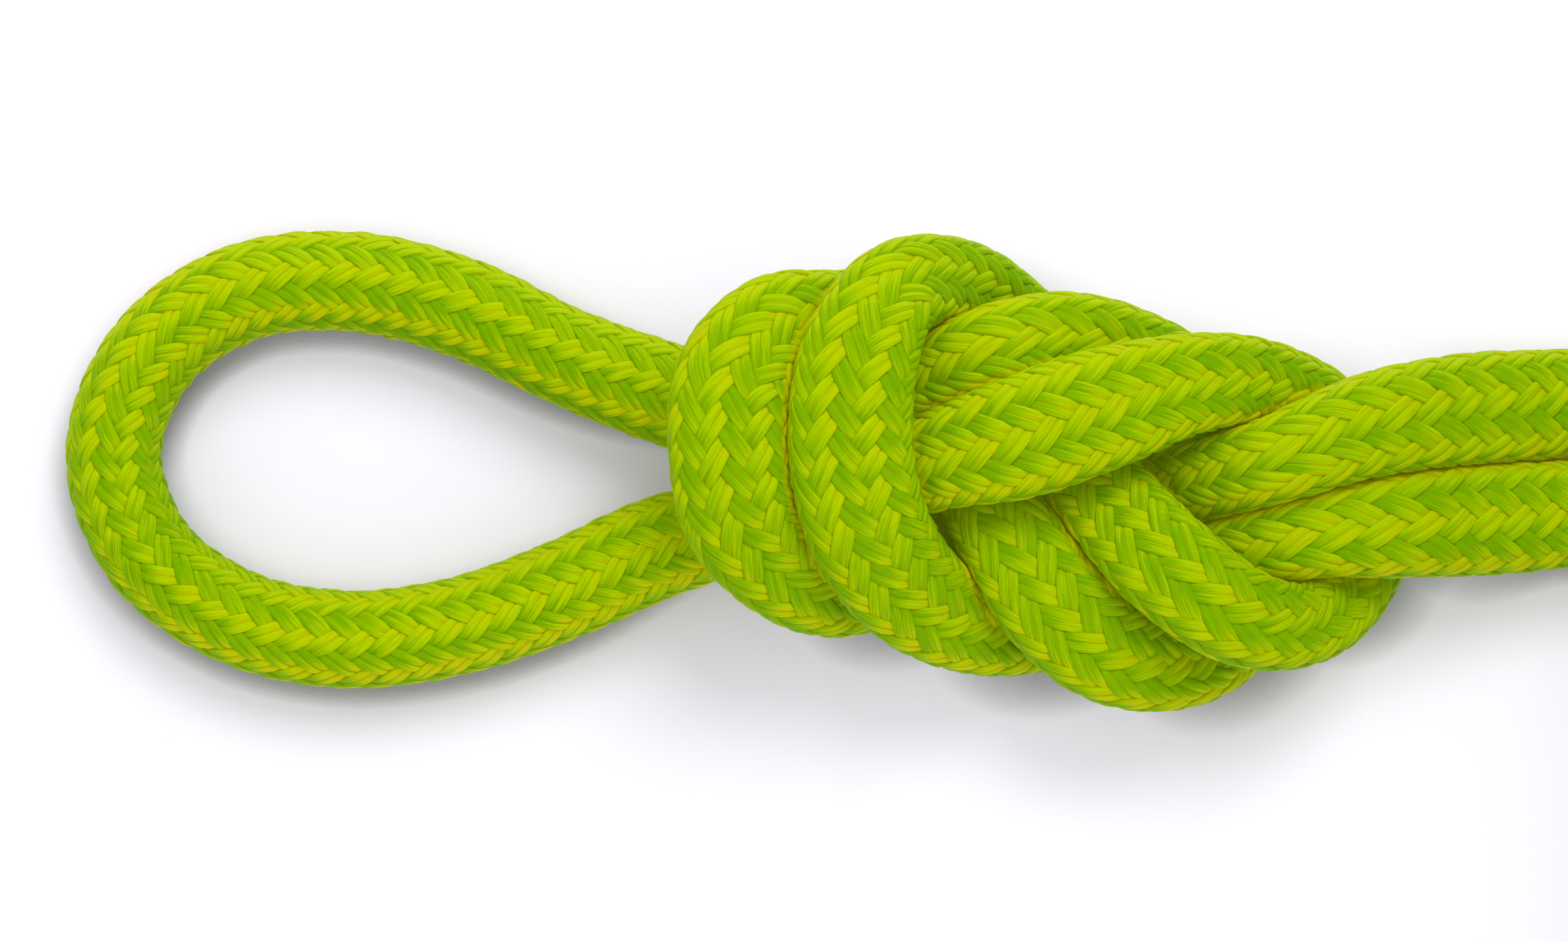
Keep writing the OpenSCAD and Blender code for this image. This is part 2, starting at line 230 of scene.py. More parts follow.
def wraps():
    """From the last run over the top, around the waist and on to the free end."""
    top, low, half, corner = 0.1207, RADIUS, 0.047, 0.020
    first, mid = WAIST - 0.020, 0.010           # the first turn's x, and the y where a turn begins
    open_stretch, turns_held = 0.006, 4
    pts = [[first - 0.027, 0.0462, 0.1121], [first - 0.014, 0.0395, 0.1172],
           [first - 0.004, 0.0275, 0.1203], [first, 0.0165, 0.1208]]
    ring = []

    def arc(yc, zc, a0, a1):
        for k in range(1, 8):
            a = a0 + (a1 - a0) * k / 8
            ring.append([yc + corner * math.cos(a), zc + corner * math.sin(a)])

    def line(y0, z0, y1, z1):
        m = max(2, int(math.hypot(y1 - y0, z1 - z0) / 0.007))
        for k in range(m + 1):
            ring.append([y0 + (y1 - y0) * k / m, z0 + (z1 - z0) * k / m])

    side, lower, upper = half - corner, low + corner, top - corner
    line(mid, top, -side, top)
    arc(-side, upper, math.pi / 2, math.pi)
    line(-half, upper, -half, lower)
    arc(-side, lower, math.pi, 1.5 * math.pi)
    line(-side, low, side, low)
    arc(side, lower, -math.pi / 2, 0)
    line(half, lower, half, upper)
    arc(side, upper, 0, math.pi / 2)
    line(side, top, mid + open_stretch, top)
    ring = np.array(ring)
    s = lengths(ring)
    for turn_no in range(turns_held):
        for k in range(len(ring)):
            # each turn stays straight and steps over by its own width under the waist
            shift = float(smooth01((s[k] / (s[-1] + open_stretch) - 0.30) / 0.40))
            pts.append([first + 2 * RADIUS * (turn_no + shift), ring[k, 0], ring[k, 1]])
    # the last one turns away along the hank and lies on it
    last, r = first + 2 * RADIUS * turns_held, 0.025
    for y in (mid, 0.006):
        pts.append([last, y, top])
    for k in range(0, 11):
        a = math.pi + math.pi / 2 * k / 10
        pts.append([last + r + r * math.cos(a), 0.002 + r * math.sin(a), top - 0.0002 * k])
    pts += [[last + 0.037, -0.0255, 0.1176], [last + 0.050, -0.028, 0.1168],
            [last + 0.063, -0.029, 0.1168], [last + 0.073, -0.029, 0.117], [last + 0.083, -0.029, 0.117]]
    return np.array(pts)


NEAR_STEP, FAR_STEP = 0.0005, 0.006
FAR_RADIUS = 0.0048                         # pressed together in the hank
LEAST_STEP = 0.0012                         # points closer than this are dropped
near = resample(spline(ROUTE, 16), NEAR_STEP)
turns = np.vstack([hank_turns(), wraps()])
keep = np.concatenate([[True], np.linalg.norm(np.diff(turns, axis=0), axis=1) > LEAST_STEP])
turns = turns[keep]
turns = np.hstack([turns, np.full((len(turns), 2), FAR_RADIUS)])
far_line = resample(spline(np.vstack([STANDING_END, turns]), 4), FAR_STEP)
print("route", round(lengths(near)[-1], 4), "hank", round(lengths(far_line)[-1], 4),
      "sum", round(lengths(near)[-1] + lengths(far_line)[-1], 4))

# ---------------------------------------------------------------- sheath surface near the knot
N_NEAR = len(near)
DS = lengths(near)[-1] / (N_NEAR - 1)       # from section to section
FAN = 56                                    # places around the section
CENTRES = near[:, :3]
ALONG = np.gradient(CENTRES, axis=0)
ALONG /= np.linalg.norm(ALONG, axis=1)[:, None]
SIDEWAYS = np.cross([0, 0, 1.0], ALONG)
SIDEWAYS /= np.linalg.norm(SIDEWAYS, axis=1)[:, None]
UPWARD = np.cross(ALONG, SIDEWAYS)

# the section is an ellipse on the loop and squarer where strands press on each other
X_NEAR = near[:, 0] * 1000                  # in millimetres
POWER = 2 + np.clip((X_NEAR - 24) / 10, 0, 1) * np.clip((116 - X_NEAR) / 8, 0, 1)
ANGLES = np.linspace(0, 2 * np.pi, 361)


def section(i):
    """Places and normals at even steps of arc around the section, each as its part sideways and up."""
    a, b, power = near[i, 3], near[i, 4], POWER[i]
    cos, sin = np.cos(ANGLES), np.sin(ANGLES)
    x = a * np.sign(cos) * np.abs(cos) ** (2 / power)
    y = b * np.sign(sin) * np.abs(sin) ** (2 / power)
    s = np.concatenate([[0], np.cumsum(np.hypot(np.diff(x), np.diff(y)))])
    even = np.linspace(0, s[-1], FAN + 1)
    x, y = np.interp(even, s, x), np.interp(even, s, y)
    nx = np.sign(x) * np.abs(x / a) ** (power - 1) / a
    ny = np.sign(y) * np.abs(y / b) ** (power - 1) / b
    n = np.hypot(nx, ny)
    return x, y, nx / n, ny / n


def placed(start, across, up):
    """Start plus the parts sideways and up, at each place of each section."""
    return start + SIDEWAYS[:, None] * across[..., None] + UPWARD[:, None] * up[..., None]


SECTIONS = np.stack([np.stack(section(i)) for i in range(N_NEAR)])
OUTER = placed(CENTRES[:, None], SECTIONS[:, 0], SECTIONS[:, 1])
NORMALS = placed(0, SECTIONS[:, 2], SECTIONS[:, 3])

PASS_BY = 0.00004                           # pressed faces pass each other by this, so no gap shows
MAY_TOUCH = 0.0135                          # stretches may touch where their centres are this close
SAME_STRETCH = 0.014                        # and are more than this apart along the rope
SLICE = 0.0008                              # a point is tested against the sections this near to it
DEEPEST = 0.0022                            # no point is pushed in further
CLOSE_BY = 0.0012                           # from here on a stretch counts as close to another


def press(points, normals):
    """Where two stretches touch, both are pushed in to the plane between them."""
    ids = np.arange(0, N_NEAR, 2)               # every second section
    points, normals = points[ids], normals[ids]
    inset = np.zeros(points.shape[:2])
    close = np.full(points.shape[:2], -1.0)
    cent = CENTRES[ids]
    arc = ids * DS
    dist = np.linalg.norm(cent[:, None] - cent[None], axis=2)
    apart = np.abs(arc[:, None] - arc[None]) > SAME_STRETCH
    for _ in range(6):
        new = inset.copy()
        for i in range(len(ids)):
            js = np.nonzero((dist[i] < MAY_TOUCH) & apart[i])[0]
            if not len(js):
                continue
            pushed = points[i] - normals[i] * inset[i][:, None]
            rel = pushed[:, None] - cent[js][None]
            jj = ids[js]
            t = np.einsum("abc,bc->ab", rel, ALONG[jj])
            w = np.einsum("abc,bc->ab", rel, SIDEWAYS[jj])
            h = np.einsum("abc,bc->ab", rel, UPWARD[jj])
            e = POWER[jj]
            v = (np.abs(w / near[jj, 3]) ** e + np.abs(h / near[jj, 4]) ** e) ** (1 / e) + 1e-9
            r = np.sqrt(w * w + h * h)
            deep = r * (1 / v - 1)
            deep[np.abs(t) > SLICE] = -1
            pen = deep.max(axis=1)
            close[i] = pen
            want = np.maximum(0, inset[i] + (pen - PASS_BY - inset[i]) / 2)
            new[i] = np.where((pen > PASS_BY) | (inset[i] > 0), want, inset[i])
        inset = np.clip(new, 0, DEEPEST)
    # a light smoothing along and around
    for _ in range(2):
        inset[:, -1] = inset[:, 0]
        ring = inset[:, :-1]
        inset[:, :-1] = (np.roll(ring, 1, 1) + 2 * ring + np.roll(ring, -1, 1)) / 4
        inset[:, -1] = inset[:, 0]
        inset[1:-1] = (inset[:-2] + 2 * inset[1:-1] + inset[2:]) / 4
    full = np.empty((2, N_NEAR, FAN + 1))
    close = np.clip(1 + close / CLOSE_BY, 0, 1)
    for c in range(FAN + 1):
        full[0, :, c] = np.interp(np.arange(N_NEAR), ids, inset[:, c])
        full[1, :, c] = np.interp(np.arange(N_NEAR), ids, close[:, c])
    return full


# how far each point is pushed in, and how close it comes to another stretch: 0 from CLOSE_BY, 1 at contact;
# the closeness sets where warm light is painted into the hollows
INSET, CLOSE = press(OUTER, NORMALS)
print("deepest press mm", round(float(INSET.max()) * 1000, 3))
PRESSED = OUTER - NORMALS * INSET[..., None]


def on_surface(s, turn, height):
    """Points at arc length s, share of a turn around, and height over the sheath's outer face."""
    fs = np.clip(s / DS, 0, N_NEAR - 1.001)
    i = fs.astype(int)
    u = fs - i
    ft = (turn % 1.0) * FAN
    j = np.minimum(ft.astype(int), FAN - 1)
    v = ft - j
    u, v = u[..., None], v[..., None]

    def between(values):
        return ((values[i, j] * (1 - v) + values[i, j + 1] * v) * (1 - u)
                + (values[i + 1, j] * (1 - v) + values[i + 1, j + 1] * v) * u)

    return between(PRESSED) + between(NORMALS) * height[..., None]


def closeness(s, turn):
    """How close the sheath comes to another stretch there."""
    i = np.clip(s / DS, 0, N_NEAR - 1.001).astype(int)
    return CLOSE[i, np.clip(np.round((turn % 1.0) * FAN).astype(int), 0, FAN)]


# ---------------------------------------------------------------- braid, 2 over 2
CARRIERS = 14                               # each way around
PX = np.pi * RADIUS / CARRIERS              # half the width of a carrier's place around the rope
PY = 0.00148                                # half a float's place along the rope
STEP = 1 / 3                                # from row to row of a carrier's points, in half places
S_NEAR = lengths(near)
L_NEAR = S_NEAR[-1]
# the braid is drawn out on the two strands that leave the knot: the tail and the standing part
DRAWN = 1 + 0.24 * (np.clip((X_NEAR - 78) / 12, 0, 1) * (S_NEAR < 0.06)
                    + np.clip((X_NEAR - 80) / 10, 0, 1) * np.clip((130 - X_NEAR) / 10, 0, 1)
                    * (S_NEAR > L_NEAR - 0.09))
V_NEAR = np.concatenate([[0], np.cumsum(DS / (PY * (DRAWN[1:] + DRAWN[:-1]) / 2))])
V_END = V_NEAR[-1]
LIFT, THICK = 0.00029, 0.00027              # how far a float rises and dives, and a yarn's thickness
SUNK = 0.00002                              # the floats' tops stay this far inside the sheath's outer face
# across a band: two yarns side by side, with a groove between them and a skirt at each side
US = np.array([-1.02, -1, -0.80, -0.50, -0.13, 0, 0.13, 0.50, 0.80, 1, 1.02])
PROFILE = np.array([-2.0, -0.55, -0.12, 0, -0.18, -0.72, -0.18, 0, -0.12, -0.55, -2.0])
# painted sheen: a float that runs along SLANT is painted brighter towards one end, one along ACROSS_LIGHT is
# painted brighter all over
SLANT = np.array([0.96, 0.10, -0.25])
ACROSS_LIGHT = np.array([0.82, 0.57, 0.0])

# shares of the map OFBake, which lays the faces out flat for whoever wants the colours as a picture:
# the bands lie side by side in its lower part, the sheath's inner face above them, the hank on top
BAND_SHARE, INNER_SHARE = 0.62, 0.03
BAND_ROWS = 3                               # each carrier's band is cut in so many lengths
MARGIN = 0.002
ACROSS_SHEET = 0.06 + 0.88 * np.concatenate([[0], 0.06 + 0.88 * (US[1:-1] + 1) / 2, [1]])


class Pieces:
    """Gathers the rope's pieces as one mesh of four-sided faces, with maps of two values a corner."""

    MAPS = ("braid", "carrier", "slant", "OFBake")

    def __init__(self):
        self.count = 0
        self.points, self.faces, self.kinds = [], [], []
        self.maps = {name: [] for name in self.MAPS}

    def add(self, kind, points, quads, *maps):
        """kind is the material's number. A map has two values for each point or for each corner."""
        corners = quads.ravel()
        for name, values in zip(self.MAPS, maps, strict=True):
            self.maps[name].append(values if len(values) == len(corners) else values[corners])
        self.points.append(points.reshape(-1, 3))
        self.faces.append(quads + self.count)
        self.kinds.append(np.full(len(quads), kind))
        self.count += len(self.points[-1])

    def mesh(self, name):
        points, faces = np.vstack(self.points), np.vstack(self.faces)
        me = bpy.data.meshes.new(name)
        me.vertices.add(len(points))
        me.vertices.foreach_set("co", points.astype(np.float32).ravel())
        me.loops.add(len(faces) * 4)
        me.loops.foreach_set("vertex_index", faces.astype(np.int32).ravel())
        me.polygons.add(len(faces))
        me.polygons.foreach_set("loop_start", (np.arange(len(faces)) * 4).astype(np.int32))
        me.polygons.foreach_set("material_index", np.concatenate(self.kinds).astype(np.int32))
        me.polygons.foreach_set("use_smooth", np.ones(len(faces), bool))
        me.update(calc_edges=True)
        me.validate()
        for label, values in self.maps.items():
            layer = me.uv_layers.new(name=label)
            layer.data.foreach_set("uv", np.vstack(values).astype(np.float32).ravel())
        return me


def grid(rows, across, closed=False):
    """Faces between rows of points, each so many points across; a closed row is a ring."""
    r = np.arange(rows - 1)[:, None] * across
    i = np.arange(across if closed else across - 1)[None]
    j = (i + 1) % across
    return np.stack([r + i, r + j, r + across + j, r + across + i], axis=-1).reshape(-1, 4)


def pairs(a, b, rows, across):
    """Two values for each point, from values that may be the same all along or all across."""
    return np.stack([np.broadcast_to(v, (rows, across)) for v in (a, b)], axis=-1).reshape(-1, 2)


def laid(lo, hi, up):
    """Two values for each corner of rows of faces: from lo to hi along, and the heights up across."""
    lo = np.broadcast_to(np.asarray(lo)[:, None], up[:, 1:].shape)
    hi = np.broadcast_to(np.asarray(hi)[:, None], up[:, 1:].shape)
    a, b = up[:, :-1], up[:, 1:]
    return np.stack([np.stack(c, -1) for c in ((lo, a), (lo, b), (hi, b), (hi, a))], 2).reshape(-1, 2)


def slanted(runs):
    """How far each run lies along the way of SLANT, which is 1 well before it does so fully; it sets how
    much brighter one end of a float is painted (painted sheen).
    """
    return np.clip(1.7 * runs @ SLANT, -1, 1)


# painted sheen: how much brighter a run is painted for lying along ACROSS_LIGHT
def sheen_of(runs):
    return (runs @ ACROSS_LIGHT) ** 2


pieces = Pieces()
BRAID, UNDER, HANK = range(3)               # the materials' numbers


def strand(family, k):
    """One carrier of the braid as a flat band of two yarns. Family 0 runs one way round, 1 the other."""
    sign = 1 if family == 0 else -1
    n, m = int(V_END / STEP), len(US)
    v = np.linspace(0, V_END, n)
    c = 2 * k + sign * v                     # place around, in half widths
    mid = 0.5 if family == 0 else 2.5
    ph = (c - mid) / 4                       # whole numbers at the middle of a float
    near_float = np.round(ph).astype(int)
    seed = RNG.uniform(-1, 1, (near_float.max() - near_float.min() + 1, 3))[near_float - near_float.min()]
    lobe = np.maximum(0, np.cos(2 * np.pi * ph))
    # the two yarns of a float rise and dive a little apart
    apart = ph[:, None] + 0.035 * seed[:, 2:] * np.clip(US[None] * 3, -1, 1)
    g = np.tanh(1.3 * np.cos(2 * np.pi * apart)) / np.tanh(1.3)
    lift = LIFT * (1 + 0.12 * (seed[:, 0] * lobe)[:, None]) * g
    pitch = PY * np.interp(v, V_NEAR, DRAWN)
    cross = np.hypot(PX, pitch)
    wide = PX * pitch / cross * (1.03 + 0.05 * lobe + 0.03 * seed[:, 1] * lobe)
    tilt = 0.00005 * seed[:, 2] * lobe
    ax, ay = pitch / cross, -sign * PX / cross   # across the carrier
    off = US[None] * wide[:, None]
    turn = (c[:, None] * PX + off * ax[:, None]) / (2 * np.pi * RADIUS)
    s = np.clip(np.interp(v, V_NEAR, S_NEAR)[:, None] + off * ay[:, None], 0, L_NEAR)
    height = lift - LIFT - THICK + THICK * (1 + PROFILE[None]) + tilt[:, None] * US[None] - SUNK
    points = on_surface(s, turn, height)
    runs = np.gradient(points[:, m // 2], axis=0) * sign
    runs /= np.linalg.norm(runs, axis=1)[:, None] + 1e-12

    row_long = -(-(n - 1) // BAND_ROWS)
    row, ahead = np.divmod(np.arange(n - 1), row_long)
    row_high = BAND_SHARE / (2 * CARRIERS * BAND_ROWS)
    low = ((k + CARRIERS * family) * BAND_ROWS + row) * row_high
    up = low[:, None] + row_high * ACROSS_SHEET[None]
    pieces.add(BRAID, points, grid(n, m),
               pairs(US[None], ph[:, None], n, m),
               pairs(sheen_of(runs)[:, None], float(k + family * 20), n, m),
               pairs(slanted(runs)[:, None], closeness(s, turn), n, m),
               laid(ahead / row_long, (ahead + 1) / row_long, up))


def inner_face():
    """The sheath's inner face under the floats."""
    depth, sides = 0.00046, 2 * CARRIERS
    rows = np.arange(0, N_NEAR, 4)
    n = len(rows)
    s = np.repeat((rows * DS)[:, None], sides, 1)
    turn = np.repeat((np.arange(sides) / sides)[None], n, 0)
    none = np.zeros((n * sides, 2))
    ahead = np.arange(n) / (n - 1)
    up = BAND_SHARE + MARGIN + INNER_SHARE * np.arange(sides + 1) / sides
    pieces.add(UNDER, on_surface(s, turn, np.full(s.shape, -depth)), grid(n, sides, closed=True),
               none, none, none, laid(ahead[:-1], ahead[1:], np.broadcast_to(up, (n - 1, sides + 1))))


# ---------------------------------------------------------------- hank, wraps and free end
SIDES = 16
REPEAT = 64                                 # the braid's pattern on the hank comes back after so many places
LOWEST = 0.0001                             # the turns on the floor stay this far over it


def carried_along(tangents, first):
    """A direction square to each tangent that turns with them as little as it can."""
    out = np.empty_like(tangents)
    w = first
    for i, t in enumerate(tangents):
        w = w - t * np.dot(w, t)
        w /= np.linalg.norm(w)
        out[i] = w
    return out


def far_rope():
    """The stored length as a tube, with the braid's places around and along it."""
    n = len(far_line)
    centres = far_line[:, :3]
    tangent = np.gradient(centres, axis=0)
    tangent /= np.linalg.norm(tangent, axis=1)[:, None]
    wide = carried_along(tangent, SIDEWAYS[-1])
    high = np.cross(tangent, wide)
    q = 2 * np.pi * np.arange(SIDES) / SIDES
    cos, sin = np.cos(q)[None, :, None], np.sin(q)[None, :, None]
    points = centres[:, None] + far_line[:, 3][:, None, None] * (wide[:, None] * cos + high[:, None] * sin)
    points[..., 2] = np.maximum(points[..., 2], LOWEST)

    # the way the floats of both families run here: their painted sheen and slant, as on the braid
    around = high[:, None] * cos - wide[:, None] * sin
    runs = [(around * PX + sign * tangent[:, None] * PY) / math.hypot(PX, PY) for sign in (1, -1)]
    sheens = pairs(*(sheen_of(r) for r in runs), n, SIDES)
    slants = pairs(*(0.5 * slanted(r) for r in runs), n, SIDES)

    v = V_END % REPEAT + lengths(far_line) / PY
    whole = np.floor(v[:-1] / REPEAT) * REPEAT
    place, step = v[:-1] - whole, np.diff(v)
    u = np.arange(SIDES + 1) * 2 * CARRIERS / SIDES
    braid = laid(place, v[1:] - whole, np.broadcast_to(u, (n - 1, SIDES + 1)))[:, ::-1]

    # the pattern repeats, so eight pictures of it do, one for each way the rope runs
    way = np.round(np.arctan2(tangent[:-1, 1], tangent[:-1, 0]) / (math.pi / 4)).astype(int) % 8
    base = BAND_SHARE + INNER_SHARE + 3 * MARGIN
    tall = (1 - BAND_SHARE - INNER_SHARE - 5 * MARGIN) / 2
    span = 0.25 / (1 + step.max() / REPEAT) - MARGIN
    start = (way % 4) * 0.25 + MARGIN / 2 + place / REPEAT * span
    up = base + (way // 4)[:, None] * tall + 0.98 * tall * np.arange(SIDES + 1)[None] / SIDES
    pieces.add(HANK, points, grid(n, SIDES, closed=True), braid, sheens, slants,
               laid(start, start + step / REPEAT * span, up))


for k in range(CARRIERS):
    strand(0, k)
    strand(1, k)
inner_face()
far_rope()
me = pieces.mesh("rope")
rope = bpy.data.objects.new("rope", me)
bpy.context.scene.collection.objects.link(rope)

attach(rope, "root")
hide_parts("sheath", "hank", "hank_wrap", "free_end")


# ---------------------------------------------------------------- materials
def srgb(*values):
    """A colour from its values as a picture states them, 0 to 255."""
    def linear(c):
        c /= 255
        return c / 12.92 if c <= 0.04045 else ((c + 0.055) / 1.055) ** 2.4
    return (*map(linear, values), 1)


class Nodes:
    """Short calls for a material's nodes."""

    def __init__(self, name):
        self.mat = bpy.data.materials.new(name)
        self.mat.use_nodes = True
        self.t = self.mat.node_tree
        self.bsdf = self.t.nodes["Principled BSDF"]

    def new(self, kind, **values):
        n = self.t.nodes.new(kind)
        for key, v in values.items():
            setattr(n, key, v)
        return n

    def link(self, a, b):
        self.t.links.new(a, b)

    def put(self, socket, v):
        if isinstance(v, bpy.types.NodeSocket):
            self.link(v, socket)
        else:
            socket.default_value = v

    def look(self, **values):
        """Sets the shader's inputs; an underscore stands for a space."""
        for key, v in values.items():
            self.put(self.bsdf.inputs[key.replace("_", " ")], v)

    def math(self, op, a, b=0.0, c=0.0):
        n = self.new("ShaderNodeMath", operation=op)
        for s, v in zip(n.inputs, (a, b, c)):
            self.put(s, v)
        return n.outputs[0]

    def add(self, a, b):
        return self.math("ADD", a, b)

    def sub(self, a, b):
        return self.math("SUBTRACT", a, b)

    def mul(self, a, b):
        return self.math("MULTIPLY", a, b)

    def mix(self, f, a, b):
        """Colour a with a share f of colour b; the node's colour sockets are 6 and 7, and output 2."""
        n = self.new("ShaderNodeMix", data_type="RGBA")
        self.put(n.inputs[0], f)
        self.put(n.inputs[6], a)
        self.put(n.inputs[7], b)
        return n.outputs[2]

    def mapr(self, v, a, b, c=0.0, d=1.0, smooth=False):
        """v from the range a to b onto the range c to d."""
        n = self.new("ShaderNodeMapRange", interpolation_type="SMOOTHSTEP" if smooth else "LINEAR")
        for s, x in zip(n.inputs, (v, a, b, c, d)):
            self.put(s, x)
        return n.outputs[0]

    def noise(self, vec, scale, detail=2.0, rough=0.5):
        n = self.new("ShaderNodeTexNoise")
        self.put(n.inputs["Vector"], vec)
        n.inputs["Scale"].default_value = scale
        n.inputs["Detail"].default_value = detail
        n.inputs["Roughness"].default_value = rough
        return n.outputs["Fac"]

    def shelter(self, reach, toward=(0, 0, 1)):
        """1 where nothing lies within reach of the surface on the side given, towards 0 in a corner."""
        n = self.new("ShaderNodeAmbientOcclusion", samples=4)
        self.put(n.inputs["Distance"], reach)
        self.put(n.inputs["Normal"], self.combine(*toward))
        return n.outputs["AO"]

    def combine(self, x, y, z=0.0):
        n = self.new("ShaderNodeCombineXYZ")
        for s, v in zip(n.inputs, (x, y, z)):
            self.put(s, v)
        return n.outputs[0]

    def split(self, vec):
        n = self.new("ShaderNodeSeparateXYZ")
        self.link(vec, n.inputs[0])
        return n.outputs

    def uv(self, name):
        return self.split(self.new("ShaderNodeUVMap", uv_map=name).outputs[0])[:2]

    def place(self):
        return self.new("ShaderNodeTexCoord").outputs["Object"]

    def geometry(self, name):
        return self.split(self.new("ShaderNodeNewGeometry").outputs[name])

    def bump(self, height, distance, strength=1.0, normal=None):
        n = self.new("ShaderNodeBump")
        n.inputs["Distance"].default_value = distance
        n.inputs["Strength"].default_value = strength
        self.link(height, n.inputs["Height"])
        if normal is not None:
            self.link(normal, n.inputs["Normal"])
        return n.outputs[0]


BRIGHT = srgb(166, 197, 0)
GREEN = srgb(144, 182, 0)
DARK = srgb(103, 160, 0)
# painted highlight at the bright ends of the floats
TIP_HIGHLIGHT = srgb(188, 193, 0)
# painted shade along the lines of contact and in the hollows
CREASE_SHADE = srgb(140, 148, 0)
# painted warm light in the hollows where strands lie close
WARM_BOUNCE_LIGHT = srgb(204, 200, 0)
# painted rim light at the tips on the side away from the light
LOW_RIM_LIGHT = srgb(202, 193, 0)


def nylon_finish_and_glow(N, rough=0.5):
    """A soft nylon sheen, and a faint painted glow: the rope gives back a little light of its own, which
    lifts the shade in its crevices.
    """
    N.look(Roughness=rough, Specular_IOR_Level=0.03, Specular_Tint=(0.75, 1.0, 0.12, 1),
           Emission_Color=(0.62, 0.72, 0.0, 1), Emission_Strength=0.05)


def yarn_colour(N, u, ph, ident, slant, sheen, rim_light_share=0.75):
    """Colour of a float from its place: u across, ph along (whole at the middle of a float). Besides the
    yarn's random tone, it paints sheen, shade, highlights at the tips and a rim light into the colour.
    """
    number = N.math("ROUND", ph)
    along = N.sub(ph, number)                    # -0.5 to 0.5, 0 in the middle
    # chance values for each yarn of each float
    yarn = N.math("MULTIPLY_ADD", N.math("GREATER_THAN", u, 0.0), 0.37, ident)
    white = N.new("ShaderNodeTexWhiteNoise", noise_dimensions="2D")
    N.link(N.combine(number, yarn), white.inputs["Vector"])
    chance = N.new("ShaderNodeSeparateColor")
    N.link(white.outputs["Color"], chance.inputs[0])
    r1, r2, r3 = chance.outputs
    # long fine fibres, and their ragged ends
    fibre = N.noise(N.combine(N.mul(u, 9.0), N.mul(ph, 3.0), N.mul(ident, 3.7)), 1.0, 3.0, 0.65)
    ragged = N.combine(N.mul(u, 8.0), N.mul(ph, 1.8), N.add(N.mul(ident, 5.1), 9.0))
    # painted sheen along each float and across the light, added to the yarn's random tone
    light = N.mul(along, slant)
    for value, weight in ((N.noise(ragged, 1.0, 2.5, 0.6), 0.75), (r1, 0.10), (sheen, 0.24)):
        light = N.add(light, N.mul(N.sub(value, 0.5), weight))
    # painted highlight: the side that faces the light is painted brighter and plainer
    face_x, face_y, _ = N.geometry("True Normal")
    high = N.mapr(face_y, 0.30, 0.80, smooth=True)
    light = N.math("MULTIPLY_ADD", high, 0.16, light)
    # from green to bright by that painted light and tone
    col = N.mix(N.mapr(light, -0.05, 0.13, smooth=True), GREEN, BRIGHT)
    # painted shade: darker green where little light is painted, more or less at random
    dark = N.mul(N.mapr(light, -0.16, -0.02, 1.0, 0.0, True), N.mapr(r2, 0.0, 1.0, 0.5, 1.0))
    col = N.mix(dark, col, DARK)
    # painted highlight: yellow tips where the most light is painted
    tip_highlight = N.mul(N.mapr(light, 0.10, 0.24, smooth=True), N.mapr(r3, 0.0, 1.0, 0.2, 0.8))
    col = N.mix(tip_highlight, col, TIP_HIGHLIGHT)
    # fibre streaks in the darker green, fainter on the side painted bright
    streak = N.mul(N.mapr(fibre, 0.36, 0.52, 0.44, 0.0, True), N.mapr(high, 0.0, 1.0, 1.0, 0.5))
    col = N.mix(streak, col, DARK)
    # painted rim light: floats on the side away from it are painted yellower at their tips
    low = N.mapr(N.sub(N.mul(face_y, -1.0), N.mul(face_x, 0.05)), 0.25, 0.85, smooth=True)
    low_rim_light = N.mul(low, N.mapr(light, -0.02, 0.14, smooth=True))
    col = N.mix(N.mul(low_rim_light, rim_light_share), col, LOW_RIM_LIGHT)
    # painted shade along the lines of contact at the sides and between the two yarns
    off_middle = N.math("ABSOLUTE", u)
    side = N.mapr(off_middle, 0.92, 1.0, 0.0, 0.45, True)
    gap = N.mapr(off_middle, 0.0, 0.10, 0.35, 0.0, True)
    return N.mix(N.math("MAXIMUM", side, gap), col, CREASE_SHADE), fibre


def braid_material():
    """The floats near the knot."""
    N = Nodes("rope_braid")
    u, ph = N.uv("braid")
    sheen, ident = N.uv("carrier")
    slant, close = N.uv("slant")
    col, fibre = yarn_colour(N, u, ph, ident, slant, sheen)
    # painted light: where strands lie close the colour is painted a brighter warm yellow, for the warm light
    # that is left in the hollows
    col = N.mix(N.mapr(close, 0.45, 1.0, 0.0, 0.8, True), col, WARM_BOUNCE_LIGHT)
    N.look(Base_Color=col, Normal=N.bump(fibre, 0.00006, 0.8))
    nylon_finish_and_glow(N)
    return N.mat


def under_material():
    """The inner face, seen only in the gaps of the braid; its bright warm yellow is painted light that lifts
    the shade in those gaps.
    """
    N = Nodes("rope_under")
    N.look(Base_Color=N.mix(N.noise(N.place(), 900.0), srgb(176, 168, 0), srgb(200, 186, 0)))
    nylon_finish_and_glow(N, 0.8)
    return N.mat


